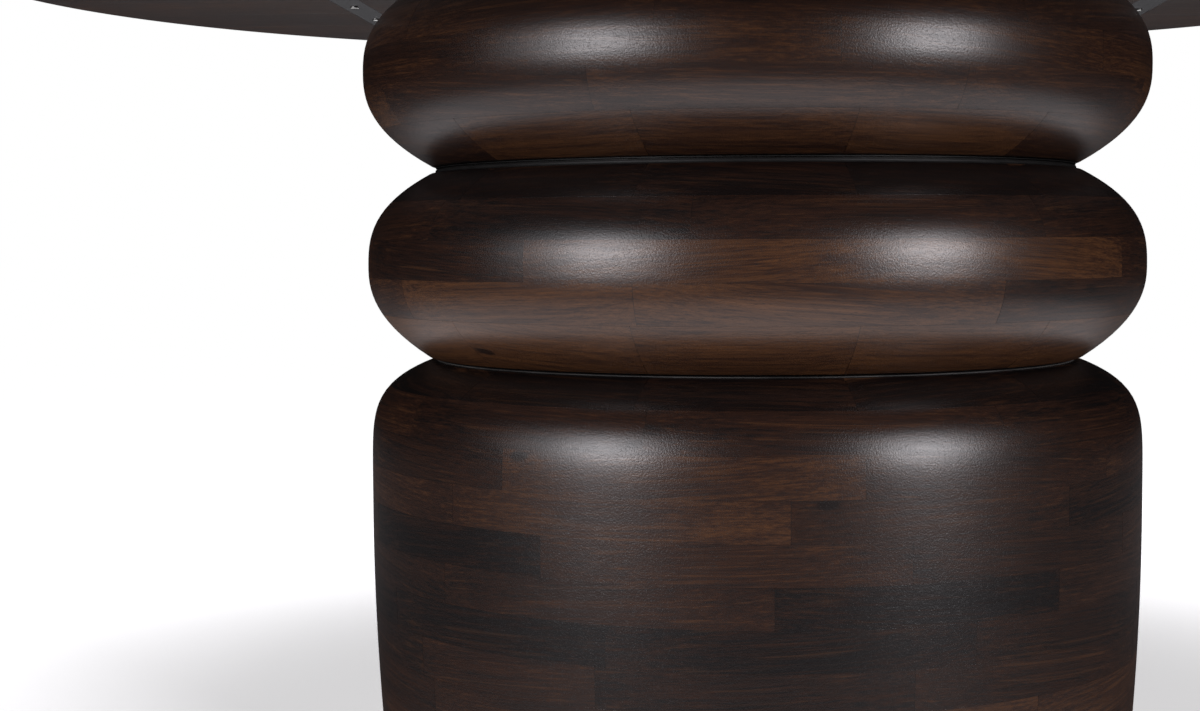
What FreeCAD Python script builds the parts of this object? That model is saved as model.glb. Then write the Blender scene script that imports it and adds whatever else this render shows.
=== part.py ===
import FreeCAD, Part
import math
import os
from collections import namedtuple

# Round dining table on a pedestal of three stacked, lathe-turned tiers, in millimetres.
# The origin is the centre of the footprint on the floor, +Z is up and the planks of the top run along X.
# Angles round the pedestal are in degrees from the front (-Y), growing towards +X.

# Overall sizes
TABLE_HEIGHT = 762.0
TOP_DIAMETER = 1524.0
TOP_THICKNESS = 49.0
PLANKS = 12

# Pedestal stack, from the floor up
FOOT_GAP = 14.0
LOWER_GAP = 3.0
UPPER_GAP = 6.0
PLATE_THICKNESS = 6.0
INSIDE_FLAT = 265.0
SPACER_RADIUS = 302.0
SPACER_BORE = 225.0
PLATE_RADIUS = 300.0

# Blocks of one glued layer, called a course
COURSE = 34.5
GLUE_LINE_TOLERANCE = 0.1
END_BLOCKS = 12
END_JOINT = 14.0
BODY_BLOCKS = 9
BLOCK_UNEVENNESS = 0.22
ROUGH_BORE_SHARE = 0.9

# A tier swells from its foot to its belly and draws in again to its rim, along two power curves.
# The joints are the angles of the first butt joint in each course between the first and the last.
Tier = namedtuple(
    "Tier",
    "name bottom top belly_height belly_radius "
    "foot_radius foot_power rim_radius rim_power first_course joints",
)
DRUM = Tier(
    name="drum",
    bottom=FOOT_GAP,
    top=353.0,
    belly_height=213.5,
    belly_radius=363.5,
    foot_radius=356.0,
    foot_power=2.0,
    rim_radius=305.0,
    rim_power=6.5,
    first_course=40.0,
    joints=(-8.0, 21.0, -19.0, -46.0, -28.3, -44.0, -34.5, -14.0),
)
MIDDLE = Tier(
    name="middle_tier",
    bottom=DRUM.top + LOWER_GAP,
    top=DRUM.top + LOWER_GAP + 5 * COURSE,
    belly_height=439.5,
    belly_radius=365.5,
    foot_radius=308.0,
    foot_power=2.23,
    rim_radius=305.5,
    rim_power=2.79,
    first_course=41.5,
    joints=(-15.0, -30.5, -7.7),
)
UPPER = Tier(
    name="upper_tier",
    bottom=MIDDLE.top + UPPER_GAP,
    top=MIDDLE.top + UPPER_GAP + 5 * COURSE,
    belly_height=621.0,
    belly_radius=368.5,
    foot_radius=303.5,
    foot_power=2.43,
    rim_radius=304.0,
    rim_power=2.6,
    first_course=COURSE,
    joints=(-21.0, -38.0, -12.0),
)

# Foot ring under the drum, which stands on the floor
FOOT_RING_RADIUS = 311.0
FOOT_RING_BORE = 287.0
FOOT_SCREW_CIRCLE = 299.0
FOOT_SCREW_RADIUS = 2.4
FOOT_SCREW_TOP = 40.0
FOOT_SCREW_HEAD_RADIUS = 5.0
FOOT_SCREW_HEAD_HEIGHT = 3.0
FOOT_SCREW_SINK = 0.6

# Base ring and tie rods, which clamp the stack together
BASE_RING_RADIUS = 285.5
BASE_RING_THICKNESS = 22.0
BASE_REBATE_FLAT = 286.0
ROD_RADIUS = 5.0
ROD_CIRCLE = 245.0
ROD_COUNT = 4
ROD_TAIL = 14.0
ROD_TAP_CLEARANCE = 0.05
ROD_HOLE_RADIUS = 5.5
ROD_WASHER_RADIUS = 12.0
ROD_WASHER_THICKNESS = 2.0
ROD_NUT_ACROSS_FLATS = 16.0
ROD_NUT_HEIGHT = 8.0

# Dowels that line up one tier on the next
DOWEL_RADIUS = 6.0
DOWEL_CLEARANCE = 0.1
DOWEL_DEPTH = 20.0
DOWEL_CIRCLE = 284.0
DOWEL_COUNT = 6

# Bolts that hold the top to the steel plate, and the inserts that take them
BOLT_RADIUS = 4.0
BOLT_CIRCLE = 200.0
BOLT_COUNT = 8
BOLT_HOLE_RADIUS = 4.5
BOLT_REACH = 20.0
BOLT_FLANGE_RADIUS = 9.0
BOLT_FLANGE_THICKNESS = 2.0
BOLT_ACROSS_FLATS = 13.0
BOLT_HEAD_HEIGHT = 6.0
INSERT_RADIUS = 6.5
INSERT_LENGTH = 22.0
THREAD_CLEARANCE = 0.1
TIP_CLEARANCE = 2.0

# Steel channels let into the underside of the top, across the planks
CHANNEL_OFFSET = 420.0
CHANNEL_LENGTH = 1100.0
CHANNEL_WIDTH = 30.0
CHANNEL_HEIGHT = 12.0
CHANNEL_WALL = 2.5
CHANNEL_CLEARANCE = 0.3
SLOT_LENGTH = 12.0
SLOT_WIDTH = 5.6
SCREWS_PER_CHANNEL = 8
SCREW_RADIUS = 2.4
SCREW_LENGTH = 25.0
SCREW_HEAD_RADIUS = 4.6
SCREW_HEAD_HEIGHT = 2.5

# Levelling feet: a threaded stem turns in an insert, and a swivel pad hangs on its end
LEVELLER_COUNT = 4
LEVELLER_CIRCLE = 333.0
PAD_RADIUS = 18.0
PAD_HEIGHT = 8.0
PAD_EDGE = 2.0
SOCKET_RADIUS = 8.0
SOCKET_FLOOR = 2.5
SOCKET_ROOF = 6.0
SOCKET_MOUTH = 5.6
STEM_RADIUS = 4.9
STEM_TOP = 48.0
STEM_COLLAR = (8.2, 13.2)
STEM_COLLAR_ACROSS_FLATS = 14.0
STEM_BUTTON_RADIUS = 7.6
STEM_BUTTON = (2.8, 5.7)
FOOT_INSERT_RADIUS = 8.0
FOOT_INSERT_LENGTH = 28.0
FOOT_INSERT_BORE = 5.0
STEM_POCKET_RADIUS = 5.5
STEM_POCKET_TOP = 50.0

UP = FreeCAD.Vector(0, 0, 1)
ORIGIN = FreeCAD.Vector(0, 0, 0)
TOP_UNDERSIDE = TABLE_HEIGHT - TOP_THICKNESS
TOP_RADIUS = TOP_DIAMETER / 2
PLATE_UNDERSIDE = TOP_UNDERSIDE - PLATE_THICKNESS


def on_circle(radius, angle, z=0.0):
    """Point on a circle about the pedestal's axis, at an angle from the front."""
    a = math.radians(angle)
    return FreeCAD.Vector(radius * math.sin(a), -radius * math.cos(a), z)


def spread(count, first=0.0):
    """Angles of pieces that are spread evenly round the pedestal."""
    return [first + 360.0 * i / count for i in range(count)]


def rod(radius, bottom, top, centre=ORIGIN):
    """Upright round bar."""
    return Part.makeCylinder(radius, top - bottom, FreeCAD.Vector(centre.x, centre.y, bottom), UP)


def hexagon(across_flats, bottom, top, centre=ORIGIN):
    """Upright six-sided prism."""
    corner = across_flats / math.sqrt(3)
    points = []
    for i in range(6):
        a = math.radians(60 * i)
        points.append(FreeCAD.Vector(corner * math.cos(a), corner * math.sin(a), bottom))
    prism = Part.Face(Part.makePolygon(points + points[:1])).extrude(UP * (top - bottom))
    prism.translate(FreeCAD.Vector(centre.x, centre.y, 0))
    return prism


def turned(points, centre=ORIGIN):
    """Solid turned about the vertical through centre, from an outline of (radius, height) points."""
    outline = [FreeCAD.Vector(centre.x + r, centre.y, z) for r, z in points]
    face = Part.Face(Part.makePolygon(outline + outline[:1]))
    return face.revolve(centre, UP, 360)


def ring(outer, inner, bottom, top):
    """Flat ring about the pedestal's axis."""
    return rod(outer, bottom, top).cut(rod(inner, bottom, top))


def save(name, solids):
    """Writes one node, as one solid or as a group of separate solids."""
    shape = solids[0] if len(solids) == 1 else Part.makeCompound(solids)
    for solid in shape.Solids:
        if not solid.isValid() or solid.Volume <= 0:
            raise ValueError("bad solid in " + name)
    shape.exportStep(os.path.join("parts", name + ".step"))
    print(name, len(shape.Solids), round(shape.Volume / 1000.0, 1), "cm3")


# Turned tiers, made of courses of glued blocks


def tier_radius(tier, z):
    """Outside radius of a tier at a height."""
    if z < tier.belly_height:
        share = (tier.belly_height - z) / (tier.belly_height - tier.bottom)
        return tier.belly_radius - (tier.belly_radius - tier.foot_radius) * share**tier.foot_power
    share = (z - tier.belly_height) / (tier.top - tier.belly_height)
    return tier.belly_radius - (tier.belly_radius - tier.rim_radius) * share**tier.rim_power


def course_heights(tier):
    """Heights of the glue lines of a tier, with its foot and its rim."""
    heights = [tier.bottom, tier.bottom + tier.first_course]
    while tier.top - heights[-1] > COURSE + GLUE_LINE_TOLERANCE:
        heights.append(heights[-1] + COURSE)
    return heights + [tier.top]


def joint_angles(tier, number, count):
    """Angles of the butt joints of one course: even in the end courses, uneven in between."""
    if number in (0, count - 1):
        return spread(END_BLOCKS, END_JOINT) + [END_JOINT + 360.0]
    angles = [tier.joints[number - 1]]
    for i in range(BODY_BLOCKS):
        share = 1 + BLOCK_UNEVENNESS * math.cos(4 * math.pi * i / BODY_BLOCKS)
        angles.append(angles[-1] + 360.0 / BODY_BLOCKS * share)
    return angles


def course_section(tier, bottom, top, bore):
    """Upright section through one course before it is planed inside, with the turned outside as an arc."""
    inner_low = FreeCAD.Vector(bore, 0, bottom)
    inner_high = FreeCAD.Vector(bore, 0, top)
    middle = (bottom + top) / 2
    low, half, high = [FreeCAD.Vector(tier_radius(tier, z), 0, z) for z in (bottom, middle, top)]
    edges = [
        Part.LineSegment(inner_low, low).toShape(),
        Part.Arc(low, half, high).toShape(),
        Part.LineSegment(high, inner_high).toShape(),
        Part.LineSegment(inner_high, inner_low).toShape(),
    ]
    return Part.Face(Part.Wire(edges))


def course_blocks(tier, bottom, top, inside_flat, angles):
    """The blocks of one course: turned outside from joint to joint, and flat inside, as sawn."""
    section = course_section(tier, bottom, top, ROUGH_BORE_SHARE * inside_flat)
    blocks = []
    for start, end in zip(angles, angles[1:]):
        face = section.copy()
        face.rotate(ORIGIN, UP, start - 90)
        waste = Part.makeBox(2 * inside_flat, inside_flat, top - bottom)
        waste.translate(FreeCAD.Vector(-inside_flat, -inside_flat, bottom))
        waste.rotate(ORIGIN, UP, (start + end) / 2)
        blocks.append(face.revolve(ORIGIN, UP, end - start).cut(waste).Solids[0])
    return blocks


def cut_holes(blocks, holes):
    """Bores each hole into the blocks that it meets."""
    bored = []
    for block in blocks:
        met = [h for h in holes if block.BoundBox.intersect(h.BoundBox)]
        bored.append(block.cut(met).Solids[0] if met else block)
    return bored


def make_tier(tier, holes):
    heights = course_heights(tier)
    count = len(heights) - 1
    for number in range(count):
        bottom, top = heights[number], heights[number + 1]
        rebated = tier is DRUM and number == 0
        inside_flat = BASE_REBATE_FLAT if rebated else INSIDE_FLAT
        blocks = course_blocks(tier, bottom, top, inside_flat, joint_angles(tier, number, count))
        if number in (0, count - 1):
            blocks = cut_holes(blocks, holes)
        save("%s_course_%02d" % (tier.name, number + 1), blocks)


# Pieces between the tiers


def dowel_angles():
    """Every second block of an end course has a dowel in its middle."""
    return spread(DOWEL_COUNT, END_JOINT + 180.0 / END_BLOCKS)


def dowels(lower, upper, clearance=0.0):
    """Dowels across one joint between tiers, or with a clearance the holes for them."""
    radius = DOWEL_RADIUS + clearance
    bottom = lower.top - DOWEL_DEPTH - clearance
    top = upper.bottom + DOWEL_DEPTH + clearance
    return [rod(radius, bottom, top, on_circle(DOWEL_CIRCLE, a)) for a in dowel_angles()]


def rod_angles():
    return spread(ROD_COUNT, 180.0 / ROD_COUNT)


def rod_holes(radius, bottom, top):
    return [rod(radius, bottom, top, on_circle(ROD_CIRCLE, a)) for a in rod_angles()]


def make_spacer(name, lower, upper):
    spacer = ring(SPACER_RADIUS, SPACER_BORE, lower.top, upper.bottom)
    holes = dowels(lower, upper, DOWEL_CLEARANCE) + rod_holes(ROD_HOLE_RADIUS, lower.top, upper.bottom)
    save(name, [spacer.cut(holes)])


def foot_screw(centre):
    """Countersunk screw through the foot ring, up into the drum."""
    cone = FOOT_SCREW_SINK + FOOT_SCREW_HEAD_HEIGHT
    outline = [
        (0, FOOT_SCREW_SINK),
        (FOOT_SCREW_HEAD_RADIUS, FOOT_SCREW_SINK),
        (FOOT_SCREW_RADIUS, cone),
        (FOOT_SCREW_RADIUS, FOOT_SCREW_TOP),
        (0, FOOT_SCREW_TOP),
    ]
    return turned(outline, centre)


def foot_screw_hole(centre):
    """Hole for a foot screw, which sinks the head a little into the ring."""
    radius = FOOT_SCREW_RADIUS + THREAD_CLEARANCE
    head_radius = FOOT_SCREW_HEAD_RADIUS + THREAD_CLEARANCE
    cone = FOOT_SCREW_SINK + FOOT_SCREW_HEAD_HEIGHT
    tip = FOOT_SCREW_TOP + TIP_CLEARANCE
    outline = [
        (0, 0),
        (head_radius, 0),
        (head_radius, FOOT_SCREW_SINK),
        (radius, cone),
        (radius, tip),
        (0, tip),
    ]
    return turned(outline, centre)


def foot_screw_centres():
    """One screw in the middle of each block of the drum's lowest course."""
    return [on_circle(FOOT_SCREW_CIRCLE, a) for a in spread(END_BLOCKS, END_JOINT + 180.0 / END_BLOCKS)]


def make_foot_ring():
    holes = [foot_screw_hole(c) for c in foot_screw_centres()]
    save("foot_ring", [ring(FOOT_RING_RADIUS, FOOT_RING_BORE, 0, FOOT_GAP).cut(holes)])
    save("foot_ring_screws", [foot_screw(c) for c in foot_screw_centres()])


def make_clamp():
    """Base ring in the rebate of the drum, tie rods up to the plate, and their nuts and washers."""
    ring_top = DRUM.bottom + DRUM.first_course
    ring_bottom = ring_top - BASE_RING_THICKNESS
    base = ring(BASE_RING_RADIUS, SPACER_BORE, ring_bottom, ring_top)
    save("base_ring", [base.cut(rod_holes(ROD_HOLE_RADIUS, ring_bottom, ring_top))])
    save("tie_rods", rod_holes(ROD_RADIUS, ring_bottom - ROD_TAIL, TOP_UNDERSIDE))
    washer_bottom = ring_bottom - ROD_WASHER_THICKNESS
    nut_bottom = washer_bottom - ROD_NUT_HEIGHT
    washers = []
    nuts = []
    for angle in rod_angles():
        centre = on_circle(ROD_CIRCLE, angle)
        bore = rod(ROD_HOLE_RADIUS, nut_bottom, ring_bottom, centre)
        washers.append(rod(ROD_WASHER_RADIUS, washer_bottom, ring_bottom, centre).cut(bore))
        thread = rod(ROD_RADIUS + ROD_TAP_CLEARANCE, nut_bottom, washer_bottom, centre)
        nuts.append(hexagon(ROD_NUT_ACROSS_FLATS, nut_bottom, washer_bottom, centre).cut(thread))
    save("tie_rod_washers", washers)
    save("tie_rod_nuts", nuts)


# Plate, bolts and inserts under the top


def bolt_centres():
    return [on_circle(BOLT_CIRCLE, a) for a in spread(BOLT_COUNT, 180.0 / BOLT_COUNT)]


def make_plate():
    plate = rod(PLATE_RADIUS, PLATE_UNDERSIDE, TOP_UNDERSIDE)
    taps = rod_holes(ROD_RADIUS + ROD_TAP_CLEARANCE, PLATE_UNDERSIDE, TOP_UNDERSIDE)
    bores = [rod(BOLT_HOLE_RADIUS, PLATE_UNDERSIDE, TOP_UNDERSIDE, c) for c in bolt_centres()]
    save("top_plate", [plate.cut(taps + bores)])


def make_bolts():
    flange_bottom = PLATE_UNDERSIDE - BOLT_FLANGE_THICKNESS
    head_bottom = flange_bottom - BOLT_HEAD_HEIGHT
    bolts = []
    inserts = []
    for centre in bolt_centres():
        head = hexagon(BOLT_ACROSS_FLATS, head_bottom, flange_bottom, centre)
        flange = rod(BOLT_FLANGE_RADIUS, flange_bottom, PLATE_UNDERSIDE, centre)
        shank = rod(BOLT_RADIUS, flange_bottom, TOP_UNDERSIDE + BOLT_REACH, centre)
        bolts.append(head.fuse([flange, shank]).removeSplitter().Solids[0])
        insert_top = TOP_UNDERSIDE + INSERT_LENGTH
        bore = rod(BOLT_RADIUS + THREAD_CLEARANCE, TOP_UNDERSIDE, insert_top, centre)
        inserts.append(rod(INSERT_RADIUS, TOP_UNDERSIDE, insert_top, centre).cut(bore))
    save("top_bolts", bolts)
    save("top_inserts", inserts)


# Top, with its stiffening channels


def screw_rows():
    """Places along a channel where a screw meets the middle of a plank."""
    pitch = TOP_DIAMETER / PLANKS
    return [pitch * (i - (SCREWS_PER_CHANNEL - 1) / 2) for i in range(SCREWS_PER_CHANNEL)]


def box(x, width, length, bottom, top):
    """Bar along Y, centred on x."""
    corner = FreeCAD.Vector(x - width / 2, -length / 2, bottom)
    return Part.makeBox(width, length, top - bottom, corner)


def channel(x, clearance=0.0):
    """Steel channel with its web flush with the underside, or with a clearance the groove for it."""
    wide = CHANNEL_WIDTH + 2 * clearance
    wall = CHANNEL_WALL + 2 * clearance
    length = CHANNEL_LENGTH + 2 * clearance
    web_top = TOP_UNDERSIDE + CHANNEL_WALL + clearance
    leg_top = TOP_UNDERSIDE + CHANNEL_HEIGHT + clearance
    leg_offset = (CHANNEL_WIDTH - CHANNEL_WALL) / 2
    web = box(x, wide, length, TOP_UNDERSIDE, web_top)
    legs = [box(x + side * leg_offset, wall, length, TOP_UNDERSIDE, leg_top) for side in (-1, 1)]
    return web.fuse(legs).removeSplitter()


def screw_slot(x, y):
    """Slot along Y in a channel's web, so that the planks can move with the seasons."""
    top = TOP_UNDERSIDE + CHANNEL_WALL
    straight = SLOT_LENGTH - SLOT_WIDTH
    corner = FreeCAD.Vector(x - SLOT_WIDTH / 2, y - straight / 2, TOP_UNDERSIDE)
    slot = Part.makeBox(SLOT_WIDTH, straight, CHANNEL_WALL, corner)
    ends = []
    for side in (-1, 1):
        centre = FreeCAD.Vector(x, y + side * straight / 2, 0)
        ends.append(rod(SLOT_WIDTH / 2, TOP_UNDERSIDE, top, centre))
    return slot.fuse(ends).removeSplitter()


def make_channels():
    screws = []
    for side, x in (("left", -CHANNEL_OFFSET), ("right", CHANNEL_OFFSET)):
        slots = [screw_slot(x, y) for y in screw_rows()]
        save("stiffening_channel_" + side, [channel(x).cut(slots)])
        for y in screw_rows():
            centre = FreeCAD.Vector(x, y, 0)
            head = rod(SCREW_HEAD_RADIUS, TOP_UNDERSIDE - SCREW_HEAD_HEIGHT, TOP_UNDERSIDE, centre)
            shank = rod(SCREW_RADIUS, TOP_UNDERSIDE, TOP_UNDERSIDE + SCREW_LENGTH, centre)
            screws.append(head.fuse(shank).removeSplitter().Solids[0])
    save("channel_screws", screws)


def round_top():
    """Whole top as one disc with a half-round edge."""
    nose = TOP_THICKNESS / 2
    rim = TOP_RADIUS - nose
    lean = nose * math.sqrt(0.5)
    middle = TOP_UNDERSIDE + nose
    low_axis = FreeCAD.Vector(0, 0, TOP_UNDERSIDE)
    low = FreeCAD.Vector(rim, 0, TOP_UNDERSIDE)
    low_arc = FreeCAD.Vector(rim + lean, 0, middle - lean)
    edge = FreeCAD.Vector(TOP_RADIUS, 0, middle)
    high_arc = FreeCAD.Vector(rim + lean, 0, middle + lean)
    high = FreeCAD.Vector(rim, 0, TABLE_HEIGHT)
    high_axis = FreeCAD.Vector(0, 0, TABLE_HEIGHT)
    edges = [
        Part.LineSegment(low_axis, low).toShape(),
        Part.Arc(low, low_arc, edge).toShape(),
        Part.Arc(edge, high_arc, high).toShape(),
        Part.LineSegment(high, high_axis).toShape(),
        Part.LineSegment(high_axis, low_axis).toShape(),
    ]
    return Part.Face(Part.Wire(edges)).revolve(ORIGIN, UP, 360)


def top_pockets():
    """Everything that is cut into the underside of the top."""
    pockets = [channel(x, CHANNEL_CLEARANCE) for x in (-CHANNEL_OFFSET, CHANNEL_OFFSET)]
    pilot_radius = SCREW_RADIUS + THREAD_CLEARANCE
    pilot_top = TOP_UNDERSIDE + SCREW_LENGTH + TIP_CLEARANCE
    for x in (-CHANNEL_OFFSET, CHANNEL_OFFSET):
        for y in screw_rows():
            pockets.append(rod(pilot_radius, TOP_UNDERSIDE, pilot_top, FreeCAD.Vector(x, y, 0)))
    for centre in bolt_centres():
        pocket_top = TOP_UNDERSIDE + INSERT_LENGTH
        pockets.append(rod(INSERT_RADIUS, TOP_UNDERSIDE, pocket_top, centre))
    return pockets


def make_top():
    disc = round_top()
    pockets = top_pockets()
    width = TOP_DIAMETER / PLANKS
    for number in range(PLANKS):
        corner = FreeCAD.Vector(-TOP_RADIUS, -TOP_RADIUS + number * width, TOP_UNDERSIDE)
        plank = disc.common(Part.makeBox(TOP_DIAMETER, width, TOP_THICKNESS, corner))
        met = [p for p in pockets if plank.BoundBox.intersect(p.BoundBox)]
        if met:
            plank = plank.cut(met)
        save("top_plank_%02d" % (number + 1), plank.Solids)


# Levelling feet


def leveller_centres():
    return [on_circle(LEVELLER_CIRCLE, a) for a in spread(LEVELLER_COUNT, END_JOINT + 180.0 / END_BLOCKS)]


def leveller_holes():
    """Pockets in the drum's lowest course for the inserts and the ends of the stems."""
    holes = []
    for centre in leveller_centres():
        pocket = rod(STEM_POCKET_RADIUS, DRUM.bottom, STEM_POCKET_TOP, centre)
        seat = rod(FOOT_INSERT_RADIUS, DRUM.bottom, DRUM.bottom + FOOT_INSERT_LENGTH, centre)
        holes.append(pocket.fuse(seat).removeSplitter())
    return holes


def leveller_pad(centre):
    outline = [
        (0, 0),
        (PAD_RADIUS - PAD_EDGE, 0),
        (PAD_RADIUS, PAD_EDGE),
        (PAD_RADIUS, PAD_HEIGHT - PAD_EDGE),
        (PAD_RADIUS - PAD_EDGE, PAD_HEIGHT),
        (SOCKET_MOUTH, PAD_HEIGHT),
        (SOCKET_MOUTH, SOCKET_ROOF),
        (SOCKET_RADIUS, SOCKET_ROOF),
        (SOCKET_RADIUS, SOCKET_FLOOR),
        (0, SOCKET_FLOOR),
    ]
    return turned(outline, centre)


def leveller_stem(centre):
    button = rod(STEM_BUTTON_RADIUS, STEM_BUTTON[0], STEM_BUTTON[1], centre)
    shank = rod(STEM_RADIUS, STEM_BUTTON[0], STEM_TOP, centre)
    collar = hexagon(STEM_COLLAR_ACROSS_FLATS, STEM_COLLAR[0], STEM_COLLAR[1], centre)
    return shank.fuse([button, collar]).removeSplitter().Solids[0]


def make_levellers():
    inserts = []
    for number, centre in enumerate(leveller_centres(), 1):
        top = DRUM.bottom + FOOT_INSERT_LENGTH
        bore = rod(FOOT_INSERT_BORE, DRUM.bottom, top, centre)
        inserts.append(rod(FOOT_INSERT_RADIUS, DRUM.bottom, top, centre).cut(bore))
        save("leveller_pad_%d" % number, [leveller_pad(centre)])
        save("leveller_stem_%d" % number, [leveller_stem(centre)])
    save("leveller_inserts", inserts)


def main():
    os.makedirs("parts", exist_ok=True)
    lower_holes = dowels(DRUM, MIDDLE, DOWEL_CLEARANCE)
    upper_holes = dowels(MIDDLE, UPPER, DOWEL_CLEARANCE)
    foot_screw_holes = [foot_screw_hole(c) for c in foot_screw_centres()]
    make_tier(DRUM, leveller_holes() + foot_screw_holes + lower_holes)
    make_tier(MIDDLE, lower_holes + upper_holes)
    make_tier(UPPER, upper_holes)
    make_spacer("lower_spacer_ring", DRUM, MIDDLE)
    make_spacer("upper_spacer_ring", MIDDLE, UPPER)
    save("lower_dowels", dowels(DRUM, MIDDLE))
    save("upper_dowels", dowels(MIDDLE, UPPER))
    make_foot_ring()
    make_clamp()
    make_plate()
    make_bolts()
    make_channels()
    make_top()
    make_levellers()


main()
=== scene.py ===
import math
import random
from collections import namedtuple

import bmesh
import bpy
from bpy.props import FloatProperty, FloatVectorProperty, PointerProperty
from mathutils import Matrix, Vector


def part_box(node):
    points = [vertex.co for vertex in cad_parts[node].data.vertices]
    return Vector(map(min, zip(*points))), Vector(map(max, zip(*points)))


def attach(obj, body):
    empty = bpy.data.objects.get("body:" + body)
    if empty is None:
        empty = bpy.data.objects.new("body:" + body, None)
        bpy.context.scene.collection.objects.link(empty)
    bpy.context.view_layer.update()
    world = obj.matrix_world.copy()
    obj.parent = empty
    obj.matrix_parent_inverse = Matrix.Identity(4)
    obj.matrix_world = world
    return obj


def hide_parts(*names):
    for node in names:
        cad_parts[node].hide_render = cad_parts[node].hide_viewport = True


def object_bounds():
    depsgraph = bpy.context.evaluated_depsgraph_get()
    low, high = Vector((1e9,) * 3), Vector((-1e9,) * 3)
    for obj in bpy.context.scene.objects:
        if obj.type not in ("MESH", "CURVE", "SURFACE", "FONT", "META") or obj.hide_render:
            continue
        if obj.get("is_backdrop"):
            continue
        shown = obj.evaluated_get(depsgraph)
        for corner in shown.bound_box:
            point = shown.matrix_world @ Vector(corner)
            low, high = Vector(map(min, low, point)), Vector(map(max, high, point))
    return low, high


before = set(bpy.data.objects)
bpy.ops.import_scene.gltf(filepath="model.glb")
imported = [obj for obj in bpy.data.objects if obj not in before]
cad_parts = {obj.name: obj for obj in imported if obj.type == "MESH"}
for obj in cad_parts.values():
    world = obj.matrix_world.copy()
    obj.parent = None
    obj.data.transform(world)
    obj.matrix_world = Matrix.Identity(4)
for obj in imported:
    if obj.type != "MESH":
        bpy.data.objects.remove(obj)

bl_info = {
    "name": "Turned pedestal table",
    "version": (1, 0, 0),
    "blender": (4, 5, 0),
    "location": "View3D > Sidebar > Table",
    "description": "Models and finishes the pieces of a round table on a stacked, turned pedestal",
    "category": "Object",
}

# Everything is in metres. Angles round the pedestal are in degrees from the front (-Y), growing towards +X.
MM = 0.001
CAD_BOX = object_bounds()
FIXED_BODY = "table"
UP = Vector((0, 0, 1))

# Layers of glued blocks, called courses. The joints are the angles of the first butt joint in each course
# between a tier's first course and its last.
Tier = namedtuple("Tier", "name courses joints")
DRUM = Tier("drum", 10, (-8.0, 21.0, -19.0, -46.0, -28.3, -44.0, -34.5, -14.0))
MIDDLE = Tier("middle_tier", 5, (-15.0, -30.5, -7.7))
UPPER = Tier("upper_tier", 5, (-21.0, -38.0, -12.0))
END_BLOCKS = 12
END_JOINT = 14.0
BODY_BLOCKS = 9
BLOCK_UNEVENNESS = 0.22
ROUGH_BORE_SHARE = 0.9

# Tones of the wood, from 0 for dark to 1 for light. Most blocks are near the middle. Some courses are darker
# or lighter as a whole: the darkest courses at the tops of the drum and the middle tier are painted shade
# where little light reaches, the darker courses of the drum's body are partly real tone and partly painted
# shade, and the light lowest course of the middle tier is partly painted light thrown up from the floor. The
# blocks right and left of a course's first butt joint are in front.
USUAL_TONE = 0.5
TONE_SPREAD = 0.07
COURSE_TONES_AND_PAINTED_LIGHT = {
    "upper_tier_course_01": 0.55,
    "middle_tier_course_05": 0.12,
    "middle_tier_course_04": 0.34,
    "middle_tier_course_01": 0.74,
    "drum_course_10": 0.17,
    "drum_course_09": 0.38,
    "drum_course_08": 0.40,
    "drum_course_07": 0.36,
    "drum_course_06": 0.36,
    "drum_course_05": 0.33,
    "drum_course_04": 0.31,
    "drum_course_03": 0.33,
}
FRONT_TONES = {
    "upper_tier_course_02": (0.50, 0.45),
    "middle_tier_course_04": (0.38, 0.28),
    "middle_tier_course_03": (0.55, 0.36),
    "middle_tier_course_02": (0.60, 0.63),
    "drum_course_09": (0.41, 0.37),
    "drum_course_08": (0.50, 0.35),
    "drum_course_07": (0.51, 0.46),
    "drum_course_06": (0.43, 0.17),
    "drum_course_05": (0.38, 0.30),
}

# How finely round shapes are divided: degrees along a block, and numbers of steps for the rest
BLOCK_STEP = 2.0
PROFILE_STEPS = 6
LIP_STEPS = 4
TOP_STEPS = 180
NOSE_STEPS = 12
RING_STEPS = 180
HARDWARE_STEPS = 32
THREAD_STEPS = 16
RECESS_CELLS = 8

# What counts as on a surface, on an eased edge (as a share of the glue line), in one place, sideways, smooth
# or flat, and a step for finding slopes
ON_SURFACE = 0.12 * MM
EASED_SHARE = 2.6
WELD = 0.001 * MM
SIDEWAYS = 0.99
NORMAL_STEP = 0.1 * MM
SMOOTH_ANGLE = math.radians(32)
FLAT_AREA = 40 * MM * MM


def length(name, description, millimetres):
    """A size that a user may change."""
    return FloatProperty(name=name, description=description, default=millimetres * MM, min=0, unit="LENGTH")


def share(name, description, default, unit="NONE"):
    """A plain number, or one with a unit, that a user may change."""
    return FloatProperty(name=name, description=description, default=default, min=0, unit=unit)


def colour(name, description, default):
    """A linear colour that a user may change."""
    return FloatVectorProperty(
        name=name, description=description, default=default, min=0, max=1, subtype="COLOR"
    )


def tier_shape(group, title, belly, foot, rim):
    """Makes the property group of the turned outside of one tier. Belly gives the height and the radius of
    its widest place, foot and rim the radius at its ends and the power of the curve up to there."""
    properties = {
        "belly_height": length("Belly height", "Height of the widest place above the floor", belly[0]),
        "belly_radius": length("Belly radius", "Radius at the widest place", belly[1]),
        "foot_radius": length("Foot radius", "Radius at the lower end", foot[0]),
        "foot_power": share("Foot curve", "Power of the curve below the belly", foot[1]),
        "rim_radius": length("Rim radius", "Radius at the upper end", rim[0]),
        "rim_power": share("Rim curve", "Power of the curve above the belly", rim[1]),
    }
    return type(group, (bpy.types.PropertyGroup,), {"__doc__": title, "__annotations__": properties})


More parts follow.
